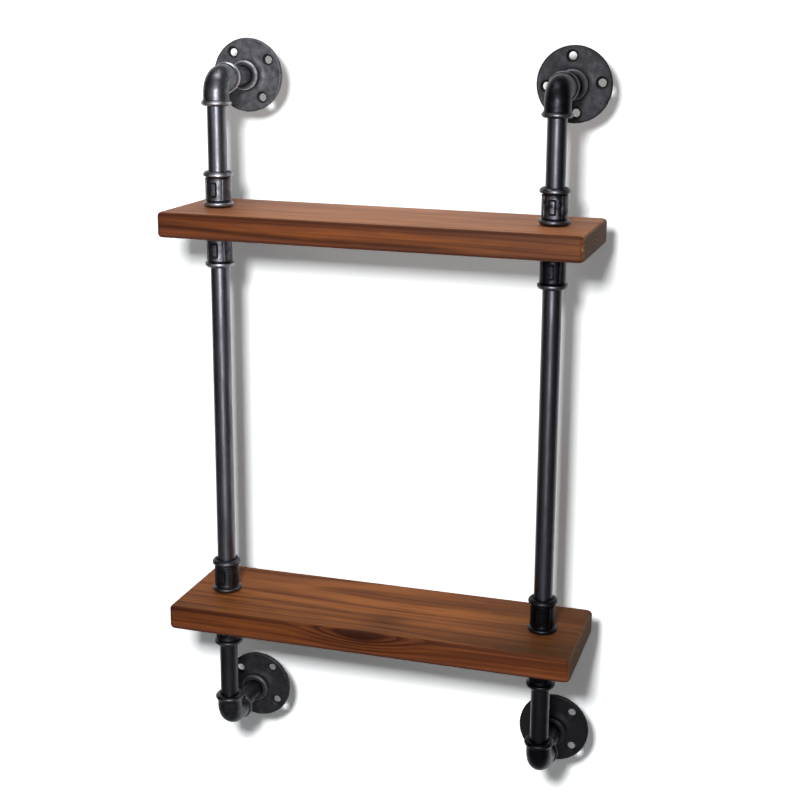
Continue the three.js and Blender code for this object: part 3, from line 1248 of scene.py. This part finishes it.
@dataclass(frozen=True)
class Elbow:
    """A cast ninety degree elbow that follows its bend, with a rolled bead at each mouth."""

    node: str
    row: Row
    reach: float = 30.0
    bend: float = 17.0
    body: float = 14.5
    neck: float = 1.6
    neck_rise: float = 0.5
    neck_lead: float = 0.1
    bead: float = 17.0
    bead_length: float = 6.0
    bead_ease: float = 1.9
    lip: Pair = (0.5, 0.25)
    socket: float = 10.95
    socket_depth: float = 13.3
    socket_flare: float = 1.8
    mouth_chamfer: float = 0.8
    bore: float = 7.9
    bore_slope: float = 0.4
    overrun: float = 1.0
    arc_steps: int = 18
    sides: int = 72
    weld: float = 0.001

    @property
    def straight(self) -> float:
        """The length of each straight end of the centreline."""
        return self.reach - self.bend

    @property
    def arc(self) -> float:
        """The length of its bend."""
        return self.bend * math.pi / 2

    def _at(self, along: float) -> Vector:
        """Find a point of the centreline, which starts at the mouth to the wall.

        Args:
            along: How far along the centreline it is.

        Returns:
            The point from where the axes of the two mouths cross.
        """
        past = along - self.straight
        if past <= 0:
            return Vector((0.0, self.reach - along, 0.0))
        if past >= self.arc:
            return Vector((0.0, 0.0, self.arc - past - self.bend))
        angle = past / self.bend
        return Vector((0.0, 1 - math.sin(angle), math.cos(angle) - 1)) * self.bend

    def _swept(self, end: Sequence[Corner], iron: Material) -> Mesh:
        """Sweep a round section of changing girth along the centreline.

        Args:
            end: The section's radius at places from one mouth inwards. The other end is alike.
            iron: The casting's finish.

        Returns:
            A closed mesh.
        """
        stations = eased(doubled(end, 2 * self.straight + self.arc), closed=False)
        least = min(radius for radius, _ in stations)
        bends = [self.arc * k / self.arc_steps for k in range(1, self.arc_steps)]
        stations += [(least, self.straight + bend) for bend in bends]
        stations.sort(key=lambda station: station[1])
        path = bpy.data.meshes.new("centreline")
        edges = [(k, k + 1) for k in range(len(stations) - 1)]
        path.from_pydata([self._at(along) * MM for _, along in stations], edges, [])
        girth = path.attributes.new("girth", "FLOAT", "POINT")
        girth.data.foreach_set("value", [radius * MM for radius, _ in stations])
        graph = GrowthGraph("elbow_sweep", iron, {"Sides": self.sides})
        curve = graph.node("GeometryNodeMeshToCurve", sockets={0: graph.entry["Geometry"]})
        circle = {"Resolution": graph.entry["Sides"], "Radius": 1.0}
        ring = graph.node("GeometryNodeCurvePrimitiveCircle", sockets=circle)
        named = graph.node("GeometryNodeInputNamedAttribute", sockets={"Name": "girth"})
        sockets = {"Curve": curve.outputs[0], "Profile Curve": ring.outputs[0]}
        sockets |= {"Scale": named.outputs[0], "Fill Caps": True}
        tube = graph.node("GeometryNodeCurveToMesh", sockets=sockets).outputs[0]
        sockets = {"Geometry": tube, "Distance": self.weld * MM}
        return graph.grow(path, graph.node("GeometryNodeMergeByDistance", sockets=sockets).outputs[0])

    def build(self, iron: Material) -> None:
        """Make the elbow on its run's axis, at the height of its flange.

        Args:
            iron: The casting's finish.
        """
        outside = [
            Corner(self.bead - self.bead_ease - self.lip[0], 0.0),
            Corner(self.bead - self.bead_ease, self.lip[1], 0.2),
            Corner(self.bead, self.bead_ease, 1.5),
            Corner(self.bead, self.bead_length - self.bead_ease, 1.5),
            Corner(self.body + self.neck_rise, self.bead_length - self.neck_lead, 0.8),
            Corner(self.body, self.bead_length + self.neck, 1.2),
        ]
        inside = [
            Corner(self.socket + self.socket_flare, -self.overrun),
            Corner(self.socket, self.mouth_chamfer),
            Corner(self.socket, self.socket_depth),
            Corner(self.bore, self.socket_depth + self.bore_slope),
        ]
        mesh = carved(self._swept(outside, iron), iron, self._swept(inside, iron))
        _, middle, high = node_box(self.node)
        _, hub, _ = node_box(self.node.replace("elbow", "flange"))
        centre = Vector((middle.x, high.y - self.reach, hub.z))
        upright = Matrix.Diagonal((1, 1, 1 if self.row is Row.UPPER else -1, 1))
        add_piece(self.node, Stock.IRON, mesh, Matrix.Translation(centre * MM) @ upright, iron)


@dataclass(frozen=True)
class WallFlange:
    """A cast wall flange: a dished disc, a beaded hub and four countersunk screw holes."""

    node: str
    turn_degrees: float
    radius: float = 42.5
    thickness: float = 5.0
    back_chamfer: Pair = (0.8, 1.0)
    rim_ease: float = 1.6
    rim_width: float = 3.4
    dish: Pair = (0.35, 0.25)
    socket: float = 10.95
    mouth_chamfer: float = 0.9
    hub: float = 15.0
    hub_height: float = 17.0
    hub_spread: float = 7.0
    hub_foot: Pair = (0.3, 1.2)
    bead: float = 17.0
    bead_length: float = 5.0
    bead_ease: Pair = (1.9, 1.7)
    bead_slope: Pair = (0.3, 1.5)
    circle: float = 31.0
    hole: float = 4.5
    sink: float = 7.5
    sink_depth: float = 3.0
    drill_length: float = 20.0
    overrun: float = 1.0
    hole_count: int = 4
    hole_sides: int = 36
    corner_steps: int = 5
    sides: int = 144

    def _blank(self) -> Mesh:
        """Make the flange before it is drilled, with its back on z = 0.

        Returns:
            A closed mesh.
        """
        face, top = self.thickness, self.hub_height
        bead_from = top - self.bead_length
        corners = [
            Corner(self.socket, 0.0),
            Corner(self.radius - self.back_chamfer[0], 0.0, 0.3),
            Corner(self.radius, self.back_chamfer[1], 0.8),
            Corner(self.radius, face - self.rim_ease, 1.2),
            Corner(self.radius - self.rim_ease, face, 1.2),
            Corner(self.radius - self.rim_width, face - self.dish[0], 1.0),
            Corner(self.hub + self.hub_spread, face - self.dish[1], 2.0),
            Corner(self.hub + self.hub_foot[0], face + self.hub_foot[1], 3.0),
            Corner(self.hub, bead_from - self.bead_slope[0], 0.5),
            Corner(self.bead, bead_from + self.bead_slope[1], 1.2),
            Corner(self.bead, top - self.bead_ease[1], 1.4),
            Corner(self.bead - self.bead_ease[0], top, 0.8),
            Corner(self.socket + self.mouth_chamfer, top, 0.2),
            Corner(self.socket, top - self.mouth_chamfer, 0.2),
        ]
        return lathe(self.node, eased(corners, steps=self.corner_steps), self.sides)

    def _drilled(self, blank: Mesh, iron: Material) -> Mesh:
        """Drill and countersink the screw holes.

        Args:
            blank: The flange without holes.
            iron: The casting's finish.

        Returns:
            The drilled flange.
        """
        slope = (self.sink - self.hole) / self.sink_depth
        sizes = {
            "Count": self.hole_count,
            "First Turn": math.radians(self.turn_degrees),
            "Circle Radius": self.circle * MM,
            "Hole Radius": self.hole * MM,
            "Depth": self.drill_length * MM,
            "Sink Top Radius": (self.sink + slope * self.overrun) * MM,
            "Sink Depth": (self.sink_depth + self.overrun) * MM,
            "Sink Place": (self.thickness - self.sink_depth) * MM,
        }
        graph = GrowthGraph("flange_screw_holes", iron, sizes)
        entry = graph.entry
        shank = {"Vertices": self.hole_sides, "Radius": entry["Hole Radius"], "Depth": entry["Depth"]}
        sink = {"Vertices": self.hole_sides, "Radius Top": entry["Sink Top Radius"]}
        sink |= {"Radius Bottom": entry["Hole Radius"], "Depth": entry["Sink Depth"]}
        on_circle = graph.joined(x=entry["Circle Radius"])
        sunk = graph.joined(x=entry["Circle Radius"], z=entry["Sink Place"])
        drill = graph.tool("Cylinder", shank, {"Translation": on_circle})
        countersink = graph.tool("Cone", sink, {"Translation": sunk})
        tools = [graph.around(drill), graph.around(countersink)]
        sockets = {"Mesh 1": entry["Geometry"], "Mesh 2": tools, "Self Intersection": True}
        return graph.grow(blank, graph.solids("DIFFERENCE", sockets))

    def build(self, iron: Material) -> None:
        """Make the flange on the wall, facing the room.

        Args:
            iron: The casting's finish.
        """
        _, middle, high = node_box(self.node)
        back = Matrix.Translation(Vector((middle.x, high.y, middle.z)) * MM)
        mesh = self._drilled(self._blank(), iron)
        add_piece(self.node, Stock.IRON, mesh, back @ Matrix.Rotation(math.pi / 2, 4, "X"), iron)


@dataclass(frozen=True)
class Board:
    """A solid board with eased edges, drilled for the two pipe runs."""

    row: Row
    corner: float = 7.0
    edge: float = 4.2
    edge_steps: int = 8
    hole: float = 11.25
    hole_sides: int = 64
    overrun: float = 2.0

    def _plank(self, half: Vector) -> Mesh:
        """Make the undrilled plank, centred on the origin.

        Args:
            half: Half its length, depth and thickness.

        Returns:
            A closed mesh.
        """
        rise = [math.pi / 2 * k / self.edge_steps for k in range(self.edge_steps + 1)]
        levels = [(self.edge * (1 - math.sin(a)), self.edge * (1 - math.cos(a)) - half.z) for a in rise]
        levels += [(inset, -height) for inset, height in reversed(levels)]
        rings = []
        for inset, height in levels:
            ring = rounded_outline(half.x - inset, half.y - inset, self.corner - inset)
            rings.append([(a, b, height) for a, b in ring])
        return skinned(f"{self.row.value}_plank", rings)

    def build(self, pipe_places: Sequence[Vector]) -> None:
        """Make the board where its node lies.

        Args:
            pipe_places: Points on the axes of the pipes that pass through it.
        """
        node = f"{self.row.value}_board"
        low, middle, high = node_box(node)
        half = (high - low) / 2
        wood = StainedWood(self.row, tuple(middle), tuple(half)).material()
        mesh = self._plank(half)
        reach = half.z + self.overrun
        outline = [(0.0, -reach), (self.hole, -reach), (self.hole, reach), (0.0, reach)]
        for place in pipe_places:
            drill = lathe("drill", outline, self.hole_sides)
            offset = Vector((place.x - middle.x, place.y - middle.y, 0.0))
            drill.transform(Matrix.Translation(offset * MM))
            mesh = carved(mesh, wood, drill)
        add_piece(node, Stock.WOOD, mesh, Matrix.Translation(middle * MM), wood)


@dataclass(frozen=True)
class PipeRun:
    """One of the two upright runs, from the upper flange to the lower one.

    turns are how far, in degrees, the screw holes of its upper and its lower flange are turned.
    """

    side: Side
    turns: Pair

    def build(self, steel: Material, iron: Material) -> None:
        """Make the run's pipes, couplings, elbows and flanges.

        Args:
            steel: The pipes' finish.
            iron: The castings' finish.
        """
        side = self.side.value
        for pipe in ("riser", "long_pipe", "drop_pipe"):
            PipeLength(f"{pipe}_{side}").build(steel)
        for row, turn in zip(Row, self.turns):
            for pipe in ("wall_nipple", "board_nipple"):
                PipeLength(f"{pipe}_{row.value}_{side}").build(steel)
            for place in ("above", "below"):
                Coupling(f"coupling_{place}_{row.value}_board_{side}").build(iron)
            Elbow(f"elbow_{row.value}_{side}", row).build(iron)
            WallFlange(f"flange_{row.value}_{side}", turn).build(iron)

    def axis(self) -> Vector:
        """A point on the run's upright axis."""
        return node_box(f"long_pipe_{self.side.value}")[1]


# Studio


class Reach(Enum):
    """What a lamp does: light everything, only show in glossy metal, or only light matt surfaces."""

    FULL = "full"
    GLOSS = "gloss"
    MATT = "matt"


@dataclass(frozen=True)
class SoftBox:
    """A rectangular studio lamp, aimed at a point of the unit."""

    name: str
    place: Triple
    aim: Triple
    size: Pair
    watts: float
    reach: Reach = Reach.FULL

    def build(self) -> None:
        """Hang the lamp."""
        lamp = bpy.data.lights.new(self.name, "AREA")
        lamp.shape = "RECTANGLE"
        lamp.size, lamp.size_y = (side * MM for side in self.size)
        lamp.energy = self.watts
        holder = linked(self.name, lamp)
        place, aim = Vector(self.place), Vector(self.aim)
        holder.location = place * MM
        holder.rotation_euler = (aim - place).to_track_quat("-Z", "Y").to_euler()
        holder.visible_diffuse = self.reach is not Reach.GLOSS
        holder.visible_glossy = self.reach is not Reach.MATT


@dataclass(frozen=True)
class Studio:
    """A white wall panel behind the unit, a pale floor below it and soft light."""

    wall_gap: float = 80.0
    wall_x: Pair = (-760, 520)
    wall_z: Pair = (-760, 560)
    floor_half: float = 3200.0
    wall_albedo: float = 0.8
    wall_seen: float = 1.06
    wall_evening: float = 2.0
    cool: Triple = (0.975, 1.0, 1.005)
    floor_albedo: float = 0.2
    floor_seen: float = 0.45
    floor_cloud: Grain = Grain((400, 400, 400), 3, weight=0.02)
    ambient: float = 0.05
    boxes: tuple[SoftBox, ...] = (
        SoftBox("key_box", (310, -1600, 655), (0, -60, 40), (150, 150), 24.5),
        SoftBox("top_box", (-100, -330, 1400), (0, -90, 200), (700, 300), 6.5),
        SoftBox("strip_card", (470, -1960, -20), (0, -60, 0), (240, 560), 16.5, Reach.GLOSS),
        SoftBox("left_card", (-880, -1500, 320), (-193, 0, 385), (300, 400), 1.1, Reach.GLOSS),
        SoftBox("right_box", (1300, -600, 300), (200, -80, 200), (400, 700), 1.8, Reach.MATT),
    )

    def _panel(self, name: str, corners: Sequence[Triple], paint: Material) -> None:
        """Add a flat sheet that is no part of the unit.

        Args:
            name: The sheet's name.
            corners: Its four corners.
            paint: Its finish.
        """
        mesh = bpy.data.meshes.new(name)
        mesh.from_pydata([Vector(corner) * MM for corner in corners], [], [(0, 1, 2, 3)])
        mesh.materials.append(paint)
        linked(name, mesh)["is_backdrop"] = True

    def _wall_paint(self) -> Material:
        """Make white paint that reads as evenly white in the picture.

        Returns:
            The paint.
        """
        graph = ShaderGraph("wall_paint")
        key_x, key_y, key_z = self.boxes[0].place
        across, _, height = graph.axes(graph.local((key_x, 0, key_z)))
        spread = (across * across + height * height) * (self.wall_evening / key_y**2)
        lift = self.wall_seen * (1 + spread) - self.wall_albedo
        return self._one_sided(graph, self._in_view(graph) * lift + self.wall_albedo)

    def _floor_paint(self) -> Material:
        """Make pale matt paint, which throws back less light than the camera sees on it.

        Returns:
            The paint.
        """
        graph = ShaderGraph("floor_paint")
        cloud = (graph.noise(graph.local(), self.floor_cloud) - 0.5) * self.floor_cloud.weight
        lift = self.floor_seen - self.floor_albedo
        return self._one_sided(graph, self._in_view(graph) * lift + self.floor_albedo + cloud)

    @staticmethod
    def _in_view(graph: ShaderGraph) -> Channel:
        """Tell the view of a paint from the light that it throws back.

        Args:
            graph: The paint's graph.

        Returns:
            1 where the paint is seen, straight or in metal or glass, and 0 otherwise.
        """
        rays = graph.node("ShaderNodeLightPath").outputs
        names = ("Is Camera Ray", "Is Glossy Ray", "Is Transmission Ray")
        return sum(Channel(graph, rays[name]) for name in names).at_most(1.0)

    def _one_sided(self, graph: ShaderGraph, level: Channel) -> Material:
        """Close a matt paint that shows on the side to the unit and lets the view through from behind.

        Args:
            graph: The paint's graph.
            level: How much light it throws back.

        Returns:
            The paint.
        """
        tint = graph.joined(*(level * share for share in self.cool))
        paint = graph.node("ShaderNodeBsdfDiffuse", sockets={"Color": tint}).outputs[0]
        clear = graph.node("ShaderNodeBsdfTransparent").outputs[0]
        behind = graph.node("ShaderNodeNewGeometry").outputs["Backfacing"]
        sockets = {0: behind, 1: paint, 2: clear}
        return graph.close(graph.node("ShaderNodeMixShader", sockets=sockets).outputs[0])

    def build(self) -> None:
        """Set up the stage, the lamps and the world."""
        (left, right), (foot, head) = self.wall_x, self.wall_z
        gap, half = self.wall_gap, self.floor_half
        wall = ((left, gap, foot), (right, gap, foot), (right, gap, head), (left, gap, head))
        self._panel("studio_wall", wall, self._wall_paint())
        floor = ((-half, -half, foot), (half, -half, foot), (half, half, foot), (-half, half, foot))
        self._panel("studio_floor", floor, self._floor_paint())
        for box in self.boxes:
            box.build()
        world = bpy.data.worlds.new("studio_world")
        world.use_nodes = True
        world.node_tree.nodes["Background"].inputs["Color"].default_value = (*(self.ambient,) * 3, 1.0)
        bpy.context.scene.world = world


@dataclass(frozen=True)
class PhotoCamera:
    """The camera at the photograph's viewing angle."""

    place: Triple = (490.25, -1549.2, 465.94)
    yaw_degrees: float = 15.291
    pitch_degrees: float = -12.778
    roll_degrees: float = 0.877
    lens: float = 63.73
    sensor: float = 36.0
    shift: Pair = (-0.075, -0.09)

    def build(self) -> None:
        """Set up the scene's camera."""
        angles = (self.yaw_degrees, self.pitch_degrees, self.roll_degrees)
        yaw, pitch, roll = (math.radians(angle) for angle in angles)
        flat = math.cos(pitch)
        ahead = Vector((-math.sin(yaw) * flat, math.cos(yaw) * flat, math.sin(pitch)))
        level = Vector((math.cos(yaw), math.sin(yaw), 0.0))
        upright = level.cross(ahead)
        right = level * math.cos(roll) + upright * math.sin(roll)
        up = upright * math.cos(roll) - level * math.sin(roll)
        data = bpy.data.cameras.new("photo_camera")
        data.lens, data.sensor_width, data.sensor_fit = self.lens, self.sensor, "HORIZONTAL"
        data.shift_x, data.shift_y = self.shift
        camera = linked("photo_camera", data)
        turn = Matrix((right, up, -ahead)).transposed().to_4x4()
        camera.matrix_world = Matrix.Translation(Vector(self.place) * MM) @ turn
        bpy.context.scene.camera = camera


def main() -> None:
    """Build the unit, its stage and its camera, and note the sizes."""
    logging.basicConfig(level=logging.INFO, format="%(name)s: %(message)s")
    PhotoCamera().build()
    Studio().build()
    runs = (PipeRun(Side.LEFT, (35.0, 53.0)), PipeRun(Side.RIGHT, (5.0, 46.0)))
    axis = runs[1].axis()
    place = ((axis.x, axis.y), node_box("flange_upper_right")[1].z)
    # The left run's steel and iron are painted lighter, with brighter beads, and the right run's darker:
    # lit and shaded copies of one finish.
    finishes = (
        (
            PipeSteel(Side.LEFT, srgb(70, 70, 76), srgb(128, 128, 136)),
            CastIron(Side.LEFT, *place, srgb(62, 62, 67), srgb(118, 118, 124), srgb(190, 190, 198), 0.0),
        ),
        (
            PipeSteel(Side.RIGHT, srgb(52, 52, 57), srgb(92, 92, 99)),
            CastIron(Side.RIGHT, *place, srgb(22, 22, 26), srgb(48, 47, 53), srgb(116, 116, 124), 0.5),
        ),
    )
    for run, (steel, iron) in zip(runs, finishes):
        run.build(steel.material(), iron.material())
    for row in Row:
        Board(row).build([run.axis() for run in runs])
    bpy.context.scene.view_settings.view_transform = "Standard"
    sizes = {"cad": CAD_BOX, "visual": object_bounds()}
    for name, box in sizes.items():
        LOG.info("%s box: %s", name, [[round(float(v), 4) for v in corner] for corner in box])


if __name__ == "__main__":
    main()
